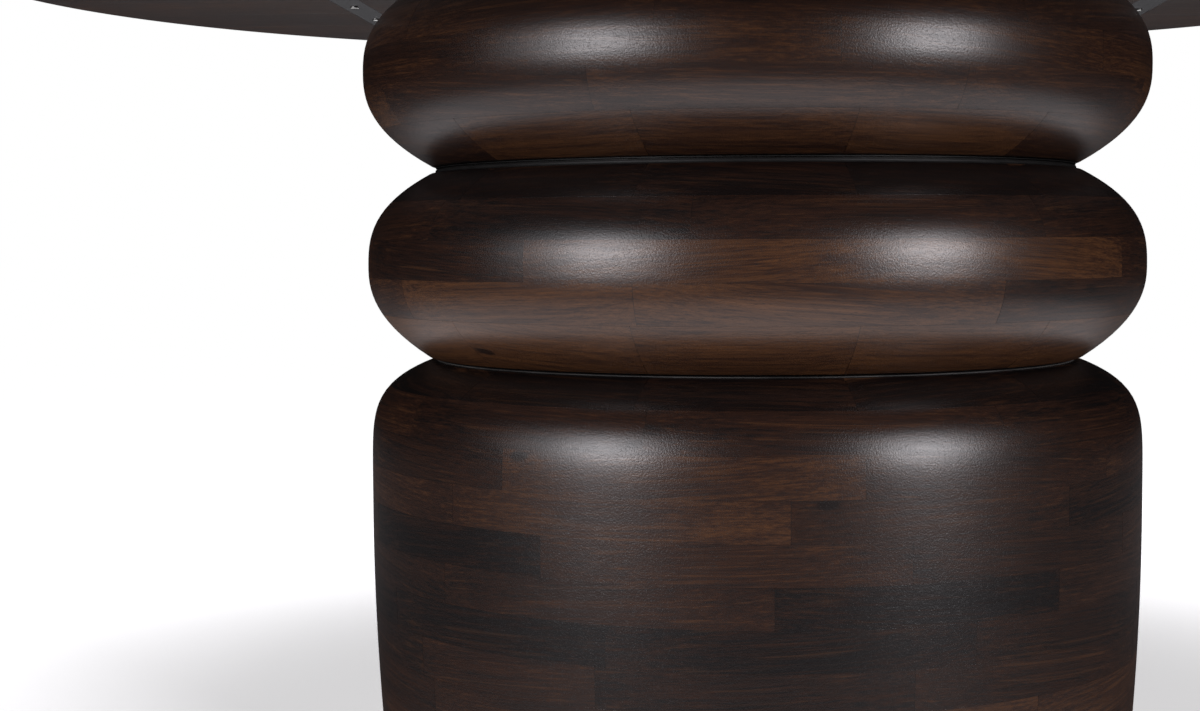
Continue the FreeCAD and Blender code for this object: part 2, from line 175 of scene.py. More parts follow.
DrumShape = tier_shape(
    "DrumShape",
    "Turned outside of the drum",
    belly=(213.5, 363.5),
    foot=(356.0, 2.0),
    rim=(305.0, 6.5),
)
MiddleShape = tier_shape(
    "MiddleShape",
    "Turned outside of the middle tier",
    belly=(439.5, 365.5),
    foot=(308.0, 2.23),
    rim=(305.5, 2.79),
)
UpperShape = tier_shape(
    "UpperShape",
    "Turned outside of the upper tier",
    belly=(621.0, 368.5),
    foot=(303.5, 2.43),
    rim=(304.0, 2.6),
)


class JoinerySizes(bpy.types.PropertyGroup):
    """Edges of the glued wood"""

    inside_flat: length("Inside flat", "Distance of a block's flat inside face from the axis", 265.0)
    rebate_flat: length("Rebate flat", "The same in the drum's lowest course, round the base ring", 286.0)
    glue_line: length("Glue line", "Width of the easing along each glued edge", 0.4)
    lip: length("Lip", "Width of the rounding along the open edge of a tier", 2.2)
    spacer_bore: length("Spacer bore", "Inside radius of the spacer rings", 225.0)
    groove_depth: length("Groove depth", "Depth of the grooves for the channels under the top", 2.8)
    groove_clearance: length("Groove clearance", "Room round a channel in its groove", 0.3)
    plank_edge: length("Plank edge", "Width of the easing along each edge of a plank", 0.45)


class HardwareSizes(bpy.types.PropertyGroup):
    """Places and threads of the fasteners"""

    rod_circle: length("Rod circle", "Radius of the circle of tie rods", 245.0)
    bolt_circle: length("Bolt circle", "Radius of the circle of bolts under the top", 200.0)
    foot_screw_circle: length("Foot screw circle", "Radius of the circle of screws in the foot ring", 299.0)
    leveller_circle: length("Leveller circle", "Radius of the circle of levelling feet", 333.0)
    screw_spacing: length("Screw spacing", "Distance between the screws of a channel", 127.0)
    thread_pitch: length("Thread pitch", "Rise of a thread in one turn", 1.5)


class WoodFinish(bpy.types.PropertyGroup):
    """Stain and lacquer of the dark wood"""

    dark: colour("Dark stain", "Darkest streaks", (0.0040, 0.0026, 0.0026))
    middle: colour("Middle stain", "Most of the surface", (0.0235, 0.0096, 0.0056))
    warm: colour("Warm stain", "Lightest streaks", (0.0850, 0.0352, 0.0135))
    worn: colour("Worn edge", "Places along a rim where the stain is rubbed thin", (0.0600, 0.0260, 0.0120))
    glue: colour("Glue line", "Dark line along a joint", (0.0030, 0.0020, 0.0018))
    roughness: share("Roughness", "Roughness of the lacquer", 0.31)


class StageSettings(bpy.types.PropertyGroup):
    """Camera and light"""

    camera_distance: length("Camera distance", "Distance of the camera in front of the axis", 1945.0)
    camera_height: length("Camera height", "Height of the camera above the floor", 471.1)
    focal_length: share("Focal length", "Focal length on a 36 mm sensor", 60.66, "CAMERA")
    key_power: share("Key power", "Power of the left softbox", 77.0, "POWER")
    left_power: share("Left power", "Power of the dim softbox left of the left one", 9.5, "POWER")
    side_power: share("Side power", "Power of the right softbox", 83.0, "POWER")
    upper_share: share("Upper share", "Power of the softbox above each of those, as a share of its", 0.62)
    back_power: share("Back power", "Power of the softbox behind the table", 55.0, "POWER")
    overhead_power: share("Overhead power", "Power of the softbox over the top", 150.0, "POWER")
    floor_power: share("Floor power", "Power of the light that the floor throws back", 15.0, "POWER")
    ambient: share("Ambient", "Strength of the even light from all round", 0.03)


class TableSettings(bpy.types.PropertyGroup):
    """All settings of the table"""

    drum: PointerProperty(type=DrumShape)
    middle_tier: PointerProperty(type=MiddleShape)
    upper_tier: PointerProperty(type=UpperShape)
    joinery: PointerProperty(type=JoinerySizes)
    hardware: PointerProperty(type=HardwareSizes)
    wood: PointerProperty(type=WoodFinish)
    stage: PointerProperty(type=StageSettings)


def settings():
    return bpy.context.scene.table_settings


# Helpers for meshes


def on_circle(radius, angle, z=0.0):
    """Point on a circle about the pedestal's axis, at an angle from the front."""
    a = math.radians(angle)
    return Vector((radius * math.sin(a), -radius * math.cos(a), z))


def spread(count, first=0.0):
    """Angles of pieces that are spread evenly round the pedestal."""
    return [first + 360.0 * i / count for i in range(count)]


def axis_distance(point):
    return math.hypot(point.x, point.y)


def only(kind, geometry):
    """The vertices, edges or faces among what a bmesh operator gives back."""
    return [item for item in geometry if isinstance(item, kind)]


def face_outwards(bm):
    bmesh.ops.recalc_face_normals(bm, faces=bm.faces[:])


def line(bm, points, closed):
    """Vertices and edges through points."""
    verts = [bm.verts.new(p) for p in points]
    ends = verts[1:] + verts[:1] if closed else verts[1:]
    edges = [bm.edges.new(pair) for pair in zip(verts, ends)]
    return verts, edges


def eased_corner(before, corner, after, steps):
    """Points of a smooth curve that cuts off a corner between two nearby points."""
    points = []
    for i in range(steps + 1):
        t = i / steps
        points.append(before * (1 - t) ** 2 + corner * (2 * t * (1 - t)) + after * t**2)
    return points


def cap(bm, *rims):
    """Fills rims of edges, and returns the new faces."""
    faces = []
    for rim in rims:
        faces += bmesh.ops.contextual_create(bm, geom=rim)["faces"]
    return faces


def cut(bm, point, normal, clear=False):
    """Cuts new edges into a mesh along a plane, and returns them. Clear takes away what is behind it."""
    whole = bm.verts[:] + bm.edges[:] + bm.faces[:]
    made = bmesh.ops.bisect_plane(
        bm, geom=whole, dist=WELD, plane_co=point, plane_no=normal, clear_inner=clear
    )
    return only(bmesh.types.BMEdge, made["geom_cut"])


def spin(bm, points, closed, centre, angle, steps, rise=0.0, merge=False):
    """Turns a line of points round the vertical through centre, and returns its first and last edges. Merge
    joins the end of a whole turn to its start."""
    verts, edges = line(bm, points, closed)
    made = bmesh.ops.spin(
        bm,
        geom=verts + edges,
        cent=(centre.x, centre.y, 0),
        axis=UP,
        dvec=UP * rise,
        angle=angle,
        steps=steps,
        use_merge=merge,
    )
    last = only(bmesh.types.BMEdge, made["geom_last"])
    if merge:
        bmesh.ops.remove_doubles(bm, verts=bm.verts[:], dist=WELD)
    return edges, last


def lathe(outline, centre, steps):
    """New bmesh of an outline of (radius, height) points, turned round the vertical through centre. The
    outline is closed, unless it starts and ends on the axis."""
    bm = bmesh.new()
    points = [Vector((centre.x + r, centre.y, z)) for r, z in outline]
    spin(bm, points, outline[0][0] > 0, centre, 2 * math.pi, steps, merge=True)
    face_outwards(bm)
    return bm


def circle(centre, radius, z):
    """Points of a level circle. Its radius and height are in millimetres."""
    radius = radius * MM
    points = []
    for i in range(HARDWARE_STEPS):
        a = 2 * math.pi * i / HARDWARE_STEPS
        points.append(Vector((centre.x + radius * math.cos(a), centre.y + radius * math.sin(a), z * MM)))
    return points


def hexagon(centre, across_flats, z, drop):
    """Points of a hexagon, as many as a circle has. Its corners are moved by drop, for a chamfer. Its sizes
    are in millimetres."""
    points = []
    flat = across_flats * MM / 2
    for i in range(HARDWARE_STEPS):
        a = 2 * math.pi * i / HARDWARE_STEPS
        radius = flat / math.cos((a % (math.pi / 3)) - math.pi / 6)
        share_out = (radius - flat) / (flat / math.cos(math.pi / 6) - flat)
        height = z * MM + drop * MM * share_out
        points.append(Vector((centre.x + radius * math.cos(a), centre.y + radius * math.sin(a), height)))
    return points


def loft(loops, joined=False):
    """New bmesh of a skin over closed loops of points, whose ends are joined to each other or capped."""
    bm = bmesh.new()
    rims = [line(bm, points, closed=True)[1] for points in loops]
    for low, high in zip(rims, rims[1:]):
        bmesh.ops.bridge_loops(bm, edges=low + high)
    if joined:
        bmesh.ops.bridge_loops(bm, edges=rims[-1] + rims[0])
    else:
        cap(bm, rims[0], rims[-1])
    face_outwards(bm)
    return bm


# Section of a thread's ridge: foot and crest below, crest and foot above, as shares of the pitch
RIDGE_SHARES = (0.02, 0.4, 0.6, 0.98)


def thread(centre, core, crest, bottom, top):
    """New bmesh of the ridge of a right-handed thread between two heights. Its sizes are in millimetres."""
    bm = bmesh.new()
    core, crest, bottom, top = [size * MM for size in (core, crest, bottom, top)]
    pitch = settings().hardware.thread_pitch
    turns = math.floor((top - bottom) / pitch) - 1
    points = []
    for radius, part in zip((core, crest, crest, core), RIDGE_SHARES):
        points.append(Vector((centre.x + radius, centre.y, bottom + part * pitch)))
    rims = spin(
        bm, points, True, centre, 2 * math.pi * turns, THREAD_STEPS * turns, pitch / THREAD_STEPS
    )
    cap(bm, *rims)
    face_outwards(bm)
    return bm


# How far a cross recess narrows towards its floor
RECESS_TAPER = (0.7, 0.7, 1.0)


def cross_screw(centre, face, half, depth, loops):
    """New bmesh of a screw whose face looks down, with a cross recess. Its loops run from face to tip. The
    height of its face and the half width and depth of the recess are in millimetres."""
    bm = bmesh.new()
    face, half, depth = [size * MM for size in (face, half, depth)]
    place = Matrix.Translation(Vector((centre.x, centre.y, face)))
    bmesh.ops.create_grid(bm, x_segments=RECESS_CELLS, y_segments=RECESS_CELLS, size=half, matrix=place)
    border = [e for e in bm.edges if e.is_boundary]
    cell = 2 * half / RECESS_CELLS
    arms = []
    for f in bm.faces:
        out = f.calc_center_median() - centre
        near, far = sorted((abs(out.x), abs(out.y)))
        if near < cell and far < half - cell:
            arms.append(f)
    moved = bmesh.ops.extrude_face_region(bm, geom=arms)["geom"]
    bmesh.ops.delete(bm, geom=arms, context="FACES")
    floor = only(bmesh.types.BMVert, moved)
    bmesh.ops.translate(bm, verts=floor, vec=UP * depth)
    bmesh.ops.scale(bm, verts=floor, vec=RECESS_TAPER, space=Matrix.Translation(-centre))
    for points in loops:
        rim = line(bm, points, closed=True)[1]
        bmesh.ops.bridge_loops(bm, edges=border + rim)
        border = rim
    cap(bm, border)
    face_outwards(bm)
    return bm


def ease_edges(bm, edges, width, segments=1):
    """Cuts off or rounds sharp edges."""
    bmesh.ops.bevel(
        bm,
        geom=edges,
        offset=width,
        segments=segments,
        profile=0.5,
        affect="EDGES",
        material=-1,
        clamp_overlap=False,
    )


def gather(parts):
    """One bmesh that holds several, which are used up."""
    whole = bmesh.new()
    for part in parts:
        mesh = bpy.data.meshes.new("part")
        part.to_mesh(mesh)
        part.free()
        whole.from_mesh(mesh)
        bpy.data.meshes.remove(mesh)
    return whole


def add_piece(bm, node, material, body=FIXED_BODY):
    """Makes a bmesh the visible piece that stands for a node of the frame."""
    mesh = bpy.data.meshes.new(node + "_visual")
    bm.to_mesh(mesh)
    bm.free()
    mesh.materials.append(material)
    mesh.shade_smooth()
    mesh.set_sharp_from_angle(angle=SMOOTH_ANGLE)
    piece = bpy.data.objects.new(node + "_visual", mesh)
    bpy.context.scene.collection.objects.link(piece)
    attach(piece, body)
    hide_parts(node)
    return piece


def finish_node(node, material):
    """Gives a node of the frame its finish."""
    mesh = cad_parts[node].data
    mesh.materials.clear()
    mesh.materials.append(material)


# Helpers for materials


class Finish:
    """A material that is being put together from nodes."""

    def __init__(self, name):
        self.material = bpy.data.materials.new(name)
        self.material.use_nodes = True
        self.tree = self.material.node_tree
        self.shader = self.tree.nodes["Principled BSDF"]

    def put(self, socket, value):
        """Links a value to a socket, or sets it there."""
        if isinstance(value, bpy.types.NodeSocket):
            self.tree.links.new(value, socket)
        else:
            socket.default_value = value

    def node(self, kind, inputs, output=0, **options):
        """Adds a node and returns one of its outputs."""
        made = self.tree.nodes.new(kind)
        for option, value in options.items():
            setattr(made, option, value)
        for name, value in inputs.items():
            self.put(made.inputs[name], value)
        return made.outputs[output]

    def surface(self, **inputs):
        """Sets inputs of the shader, named with underscores for spaces."""
        for name, value in inputs.items():
            self.put(self.shader.inputs[name.replace("_", " ")], value)

    def place(self):
        return self.node("ShaderNodeTexCoord", {}, output="Object")

    def attribute(self, name):
        return self.node("ShaderNodeAttribute", {}, output="Fac", attribute_name=name)

    def stretched(self, vector, scale):
        return self.node("ShaderNodeMapping", {"Vector": vector, "Scale": scale})

    def noise(self, vector, scale=1.0, detail=3.0, roughness=0.5, distortion=0.0):
        inputs = {
            "Vector": vector,
            "Scale": scale,
            "Detail": detail,
            "Roughness": roughness,
            "Distortion": distortion,
        }
        return self.node("ShaderNodeTexNoise", inputs)

    def shifted(self, vector, scale, reach):
        """Small offsets, up to half of reach each way, that vary with the place."""
        noise = self.node("ShaderNodeTexNoise", {"Vector": vector, "Scale": scale}, output="Color")
        centred = self.node("ShaderNodeVectorMath", {0: noise, 1: (0.5, 0.5, 0.5)}, operation="SUBTRACT")
        return self.node("ShaderNodeVectorMath", {0: centred, "Scale": reach}, operation="SCALE")

    def math(self, operation, first, second=0.0, third=0.0):
        inputs = {0: first, 1: second, 2: third}
        return self.node("ShaderNodeMath", inputs, operation=operation)

    def band(self, value, low, high, to_low=0.0, to_high=1.0):
        """Maps one range of a value to another, held at both ends."""
        inputs = {
            "Value": value,
            "From Min": low,
            "From Max": high,
            "To Min": to_low,
            "To Max": to_high,
        }
        return self.node("ShaderNodeMapRange", inputs, interpolation_type="SMOOTHSTEP")

    def ramp(self, value, stops):
        """Colours along a value, from (position, colour) stops."""
        made = self.tree.nodes.new("ShaderNodeValToRGB")
        points = made.color_ramp.elements
        while len(points) < len(stops):
            points.new(1.0)
        for point, (position, tint) in zip(points, stops):
            point.position = position
            point.color = (*tint, 1.0)
        self.put(made.inputs[0], value)
        return made.outputs["Color"]

    def mix(self, factor, first, second, blend="MIX"):
        """Mixes two colours."""
        made = self.tree.nodes.new("ShaderNodeMix")
        made.data_type = "RGBA"
        made.blend_type = blend
        self.put(made.inputs["Factor"], factor)
        for socket, tint in ((made.inputs[6], first), (made.inputs[7], second)):
            self.put(socket, tint if isinstance(tint, bpy.types.NodeSocket) else (*tint, 1.0))
        return made.outputs[2]

    def bump(self, height, strength, distance):
        inputs = {"Height": height, "Strength": strength, "Distance": distance}
        return self.node("ShaderNodeBump", inputs)

    def coat(self, pattern, tints, roughness, relief):
        """Gives the shader a colour, a roughness and a relief from one pattern. Returns the colour."""
        tint = self.ramp(pattern, tuple(zip(PATTERN_ENDS, tints)))
        rough = self.band(pattern, *PATTERN_ENDS, *roughness)
        self.surface(Base_Color=tint, Roughness=rough, Normal=self.bump(pattern, *relief))
        return tint


def once(make):
    """Makes a material of the function's name when first asked for it, and gives the same one after that."""
    made = {}

    def fetch():
        if not made:
            finish = Finish(make.__name__)
            make(finish)
            made["material"] = finish.material
        return made["material"]

    return fetch


# Figure of the dark wood. A scale says how often a pattern repeats in a metre: along the grain, across, up.
ZONE_SCALE = (3.0, 18.0, 36.0)
STREAK_SCALE = (2.4, 100.0, 430.0)
FIBRE_SCALE = (24.0, 400.0, 800.0)
FLAME_SCALE = (1.8, 70.0, 320.0)
PORE_SCALE = (110.0, 1900.0, 1900.0)
FLECK_SCALE = (5.0, 14.0, 14.0)
RUB_SCALE = (9.0, 60.0, 60.0)
PEEL_SCALE = 720.0
STREAK_SHARE = 0.42
ZONE_SHARE = 0.24
FIBRE_SHARE = 0.34
FIGURE_SHARE = 0.74
TONE_REACH = (-0.02, 0.28)
STAIN_STOPS = (0.36, 0.50, 0.66)
GRAIN_SLOPE = 0.07
SEED_STEP = (13.7, 7.3, 9.1)

# Darker and lighter tint of the plain finishes, and the ends of the pattern that they follow
PATTERN_ENDS = (0.3, 0.7)
BLACK_TINTS = ((0.0030, 0.0028, 0.0028), (0.0070, 0.0064, 0.0062))
# Grey of the painted highlight laid on the crests of the spacer beads, where they would catch the lamps
PAINTED_HIGHLIGHT_GREY = (0.060, 0.057, 0.055)
PLYWOOD_TINTS = ((0.36, 0.22, 0.11), (0.52, 0.35, 0.19))
PLY_SHADE = (0.55, 0.48, 0.42)
WHITE = (1.0, 1.0, 1.0)
BEECH_TINTS = ((0.55, 0.36, 0.20), (0.34, 0.20, 0.10))
POWDER_TINTS = ((0.010, 0.010, 0.011), (0.022, 0.022, 0.023))
ZINC_TINTS = ((0.42, 0.42, 0.40), (0.62, 0.62, 0.60))
BRASS_TINTS = ((0.52, 0.33, 0.10), (0.70, 0.48, 0.18))
PLASTIC_TINTS = ((0.011, 0.011, 0.012), (0.020, 0.020, 0.021))


@once
def dark_wood(finish):
    """Dark stained hardwood under satin lacquer. Each block or plank has its own grain, tone and seed."""
    wood = settings().wood
    seed = finish.attribute("seed")
    tone = finish.attribute("tone")
    turned = finish.node(
        "ShaderNodeVectorRotate",
        {"Vector": finish.place(), "Angle": finish.attribute("grain_angle")},
        rotation_type="Z_AXIS",
    )
    slope = finish.band(seed, 0.0, 1.0, -GRAIN_SLOPE, GRAIN_SLOPE)
    tilt = {"Vector": turned, "Angle": slope}
    tilted = finish.node("ShaderNodeVectorRotate", tilt, rotation_type="Y_AXIS")
    away = finish.node("ShaderNodeVectorMath", {0: SEED_STEP, "Scale": seed}, operation="SCALE")
    place = finish.node("ShaderNodeVectorMath", {0: tilted, 1: away}, operation="ADD")

    zones = finish.noise(finish.stretched(place, ZONE_SCALE), detail=2.0)
    streaks = finish.stretched(place, STREAK_SCALE)
    streaks = finish.noise(streaks, detail=5.0, roughness=0.6, distortion=0.12)
    fibres = finish.noise(finish.stretched(place, FIBRE_SCALE), detail=3.0, roughness=0.6)
    figure = finish.math("MULTIPLY_ADD", streaks, STREAK_SHARE, finish.math("MULTIPLY", zones, ZONE_SHARE))
    figure = finish.math("MULTIPLY_ADD", fibres, FIBRE_SHARE, figure)
    figure = finish.math("MULTIPLY_ADD", figure, FIGURE_SHARE, finish.band(tone, 0.0, 1.0, *TONE_REACH))
    stain = finish.ramp(figure, tuple(zip(STAIN_STOPS, (wood.dark, wood.middle, wood.warm))))

    honey = finish.stretched(place, FLAME_SCALE)
    honey = finish.noise(honey, detail=4.0, roughness=0.62, distortion=0.2)
    honey = finish.math("MULTIPLY", finish.band(honey, 0.56, 0.70), finish.band(tone, 0.0, 0.6, 0.1, 0.4))
    stain = finish.mix(honey, stain, wood.warm)
    pores = finish.noise(finish.stretched(place, PORE_SCALE), detail=2.0)
    pore_mask = finish.band(pores, 0.56, 0.70)
    stain = finish.mix(finish.math("MULTIPLY", pore_mask, 0.6), stain, wood.dark)
    bent = {0: place, 1: finish.shifted(place, 90.0, 3 * MM)}
    cells = finish.stretched(finish.node("ShaderNodeVectorMath", bent, operation="ADD"), FLECK_SCALE)
    flecks = finish.node("ShaderNodeTexVoronoi", {"Vector": cells, "Scale": 1.0}, output="Distance")
    stain = finish.mix(finish.band(flecks, 0.04, 0.08, 0.8, 0.0), stain, wood.dark)
    rubbed = finish.noise(finish.stretched(place, RUB_SCALE), detail=4.0, roughness=0.7)
    worn = finish.band(rubbed, 0.57, 0.70)
    stain = finish.mix(finish.math("MULTIPLY", finish.attribute("lip"), worn), stain, wood.worn)
    joint = finish.mix(worn, wood.glue, wood.worn)
    stain = finish.mix(finish.math("MULTIPLY", finish.attribute("seam"), 0.9), stain, joint)

    peel = finish.noise(place, scale=PEEL_SCALE, detail=1.0)
    relief = finish.math("MULTIPLY_ADD", pore_mask, -0.15, peel)
    rough = finish.band(streaks, 0.3, 0.7, wood.roughness + 0.02, wood.roughness - 0.02)
    rough = finish.math("MULTIPLY_ADD", pore_mask, 0.06, rough)
    finish.surface(Base_Color=stain, Roughness=rough, Normal=finish.bump(relief, 0.55, 0.2 * MM))


def black_grain(finish):
    """Black stained hardwood, matt with a trace of grain. Returns its colour."""
    grain = finish.noise(finish.stretched(finish.place(), (60.0, 60.0, 900.0)), detail=4.0)
    tint = finish.coat(grain, BLACK_TINTS, (0.5, 0.62), (0.2, 0.1 * MM))
    finish.surface(Specular_IOR_Level=0.25)
    return tint


@once
def black_stain(finish):
    """Black stained hardwood of the foot ring."""
    black_grain(finish)


@once
def rubbed_stain(finish):
    """Black stained hardwood of the spacers, rubbed grey along the crests of their beads."""
    tint = black_grain(finish)
    place = finish.place()
    level = finish.stretched(place, (1.0, 1.0, 0.0))
    out = finish.node("ShaderNodeVectorMath", {0: level}, output="Value", operation="LENGTH")
    # Painted highlight: grey on the crests of the beads, in patches along the ring
    crest = finish.band(out, SPACER_RADIUS - PAINTED_HIGHLIGHT_DEPTH, SPACER_RADIUS)
    highlight_patches = finish.noise(place, scale=11.0, detail=4.0, roughness=0.6)
    crest = finish.math("MULTIPLY", crest, finish.band(highlight_patches, 0.38, 0.60, 0.3, 1.0))
    finish.surface(Base_Color=finish.mix(crest, tint, PAINTED_HIGHLIGHT_GREY))


@once
def plywood(finish):
    """Raw plywood: thin layers, lighter and darker in turn, with a fine grain on the faces."""
    place = finish.place()
    layers = finish.node(
        "ShaderNodeTexWave",
        {"Vector": place, "Scale": 160.0, "Distortion": 0.6},
        wave_type="BANDS",
        bands_direction="Z",
    )
    grain = finish.noise(finish.stretched(place, (25.0, 500.0, 300.0)), detail=4.0)
    tint = finish.coat(grain, PLYWOOD_TINTS, (0.72, 0.85), (0.3, 0.15 * MM))
    shade = finish.ramp(layers, ((0.35, PLY_SHADE), (0.65, WHITE)))
    finish.surface(Base_Color=finish.mix(1.0, tint, shade, "MULTIPLY"))


@once
def beech(finish):
    """Raw beech of the dowels, with its short dark flecks."""
    place = finish.place()
    flecks = finish.noise(finish.stretched(place, (1400.0, 1400.0, 160.0)), detail=2.0)
    tint = finish.ramp(flecks, ((0.45, BEECH_TINTS[0]), (0.68, BEECH_TINTS[1])))
    finish.surface(Base_Color=tint, Roughness=finish.band(flecks, 0.4, 0.7, 0.62, 0.75))


@once
def powder_coat(finish):
    """Black powder coat on steel, with a fine pebbled surface."""
    pebbles = finish.noise(finish.place(), scale=1100.0, detail=2.0)
    finish.coat(pebbles, POWDER_TINTS, (0.45, 0.58), (0.35, 0.15 * MM))


@once
def zinc_steel(finish):
    """Zinc plated steel, cloudy and slightly yellow where it has aged."""
    place = finish.place()
    clouds = finish.noise(place, scale=130.0, detail=5.0, roughness=0.65)
    tint = finish.ramp(clouds, ((0.35, ZINC_TINTS[0]), (0.65, ZINC_TINTS[1])))
    marks = finish.noise(finish.stretched(place, (900.0, 900.0, 250.0)), detail=3.0)
    rough = finish.band(marks, *PATTERN_ENDS, 0.24, 0.42)
    finish.surface(Base_Color=tint, Roughness=rough, Metallic=1.0)
    finish.surface(Normal=finish.bump(marks, 0.12, 0.05 * MM))


@once
def turned_brass(finish):
    """Turned brass of the threaded inserts, with fine tool marks."""
    marks = finish.noise(finish.stretched(finish.place(), (120.0, 120.0, 2600.0)), detail=3.0)
    finish.coat(marks, BRASS_TINTS, (0.22, 0.36), (0.15, 0.05 * MM))
    finish.surface(Metallic=1.0)


@once
def moulded_plastic(finish):
    """Moulded black plastic of the swivel pads, with a fine spark-eroded grain."""
    grain = finish.noise(finish.place(), scale=2400.0, detail=2.0)
    finish.coat(grain, PLASTIC_TINTS, (0.5, 0.62), (0.25, 0.06 * MM))


# Turned tiers


class TurnedTier:
    """One tier with its outside as a function of height."""

    def __init__(self, tier):
        self.tier = tier
        self.shape = getattr(settings(), tier.name)
        self.nodes = ["%s_course_%02d" % (tier.name, i + 1) for i in range(tier.courses)]
        self.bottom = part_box(self.nodes[0])[0].z
        self.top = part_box(self.nodes[-1])[1].z

    def radius(self, z):
        """Outside radius at a height, which is held between the ends of the tier."""
        shape = self.shape
        z = min(max(z, self.bottom), self.top)
        if z < shape.belly_height:
            part = (shape.belly_height - z) / (shape.belly_height - self.bottom)
            return shape.belly_radius - (shape.belly_radius - shape.foot_radius) * part**shape.foot_power
        part = (z - shape.belly_height) / (self.top - shape.belly_height)
        return shape.belly_radius - (shape.belly_radius - shape.rim_radius) * part**shape.rim_power

    def point(self, z):
        """Point of the outside, as (radius, height)."""
        return Vector((self.radius(z), z))

    def normal(self, point):
        """Direction that the turned outside faces at a point."""
        low = max(point.z - NORMAL_STEP, self.bottom)
        high = min(point.z + NORMAL_STEP, self.top)
        slope = (self.radius(high) - self.radius(low)) / (high - low)
        out = axis_distance(point)
        return Vector((point.x / out, point.y / out, -slope)).normalized()

    def depth(self, point):
        """Distance of a point inside the turned surface."""
        facing = self.normal(point)
        return (self.radius(point.z) - axis_distance(point)) * math.hypot(facing.x, facing.y)

    def at_lip(self, point):
        """Whether a point belongs to the rounding along an open edge of the tier."""
        lip = settings().joinery.lip
        return not self.bottom + lip < point.z < self.top - lip

    def is_outside(self, point):
        """Whether a point is on the turned surface, or on the easing of a glued edge."""
        least = ON_SURFACE if self.at_lip(point) else EASED_SHARE * settings().joinery.glue_line
        return abs(self.depth(point)) < least

    def seam(self, point):
        """Darkening of a point on the easing of a glued edge, from 0 to 1."""
        part = self.depth(point) / settings().joinery.glue_line
        return min(max(part, 0.0), 1.0) if part < EASED_SHARE and not self.at_lip(point) else 0.0

    def lip(self, point):
        """1 on the rounding along an open edge of the tier, and 0 elsewhere."""
        return float(self.at_lip(point))

    def joint_angles(self, number):
        """Angles of the butt joints of one course: even in the end courses, uneven in between."""
        if number in (0, self.tier.courses - 1):
            return spread(END_BLOCKS, END_JOINT) + [END_JOINT + 360.0]
        angles = [self.tier.joints[number - 1]]
        for i in range(BODY_BLOCKS):
            part = 1 + BLOCK_UNEVENNESS * math.cos(4 * math.pi * i / BODY_BLOCKS)
            angles.append(angles[-1] + 360.0 / BODY_BLOCKS * part)
        return angles

    def outside(self, bottom, top):
        """Points up the outside of one course, with its edges eased, and rounded where the tier ends."""
        joinery = settings().joinery
        foot = joinery.lip if bottom == self.bottom else joinery.glue_line
        rim = joinery.lip if top == self.top else joinery.glue_line
        along = self.point(bottom + MM) - self.point(bottom)
        low = bottom + foot * along.normalized().y
        along = self.point(top) - self.point(top - MM)
        high = top - rim * along.normalized().y
        corner = self.point(bottom)
        points = eased_corner(corner - Vector((foot, 0)), corner, self.point(low), LIP_STEPS)
        for i in range(1, PROFILE_STEPS):
            points.append(self.point(low + (high - low) * i / PROFILE_STEPS))
        corner = self.point(top)
        return points + eased_corner(self.point(high), corner, corner - Vector((rim, 0)), LIP_STEPS)


def turned_block(outside, inside_flat, start, end, edge):
    """New bmesh of one block: turned outside, flat inside, with its outer end edges eased."""
    bm = bmesh.new()
    bore = ROUGH_BORE_SHARE * inside_flat
    outline = [(bore, outside[0].y)] + [tuple(p) for p in outside] + [(bore, outside[-1].y)]
    points = [on_circle(r, start, z) for r, z in outline]
    steps = math.ceil((end - start) / BLOCK_STEP)
    ends = cap(bm, *spin(bm, points, True, Vector(), math.radians(end - start), steps))
    outward = on_circle(1.0, (start + end) / 2)
    cap(bm, cut(bm, outward * inside_flat, outward, clear=True))
    face_outwards(bm)
    least = min(p.x for p in outside) - ON_SURFACE
    corners = {e for f in ends if f.is_valid for e in f.edges}
    ease_edges(bm, [e for e in corners if all(axis_distance(v.co) > least for v in e.verts)], edge)
    return bm


def mark_wood(bm, angle, tone, seed, seam, lip):
    """Notes on every vertex of a block or plank how its wood runs and looks. Seam and lip are functions."""
    for name, value in (("grain_angle", -math.radians(angle)), ("tone", tone), ("seed", seed)):
        layer = bm.verts.layers.float.new(name)
        for vert in bm.verts:
            vert[layer] = value
    for name, found in (("seam", seam), ("lip", lip)):
        layer = bm.verts.layers.float.new(name)
        for vert in bm.verts:
            vert[layer] = found(vert.co)


def set_normals(mesh, is_turned, normal):
    """Makes turned faces shade as one smooth surface across the blocks, and large sawn faces as flat."""
    normals = [Vector((0, 0, 0))] * len(mesh.loops)
    for polygon in mesh.polygons:
        points = [mesh.vertices[i].co for i in polygon.vertices]
        if all(is_turned(p) for p in points):
            for corner, point in zip(polygon.loop_indices, points):
                normals[corner] = normal(point)
        elif polygon.area > FLAT_AREA:
            for corner in polygon.loop_indices:
                normals[corner] = polygon.normal.copy()
    mesh.normals_split_custom_set(normals)


def make_course(turned, number):
    node = turned.nodes[number]
    bottom, top = [corner.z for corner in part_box(node)]
    bottom = turned.bottom if number == 0 else bottom
    joinery = settings().joinery
    rebated = turned.tier is DRUM and number == 0
    inside_flat = joinery.rebate_flat if rebated else joinery.inside_flat
    outside = turned.outside(bottom, top)
    chance = random.Random(node)
    angles = turned.joint_angles(number)
    # Course tones carry painted shade on the top courses of the tiers and painted light on the middle tier's
    # lowest course
    usual = COURSE_TONES_AND_PAINTED_LIGHT.get(node, USUAL_TONE)
    tones = [chance.gauss(usual, TONE_SPREAD) for _ in angles[1:]]
    if node in FRONT_TONES:
        tones[0], tones[-1] = FRONT_TONES[node]
    blocks = []
    for start, end, tone in zip(angles, angles[1:], tones):
        block = turned_block(outside, inside_flat, start, end, joinery.glue_line)
        mark_wood(block, (start + end) / 2, tone, chance.random(), turned.seam, turned.lip)
        blocks.append(block)
    piece = add_piece(gather(blocks), node, dark_wood())
    set_normals(piece.data, turned.is_outside, turned.normal)


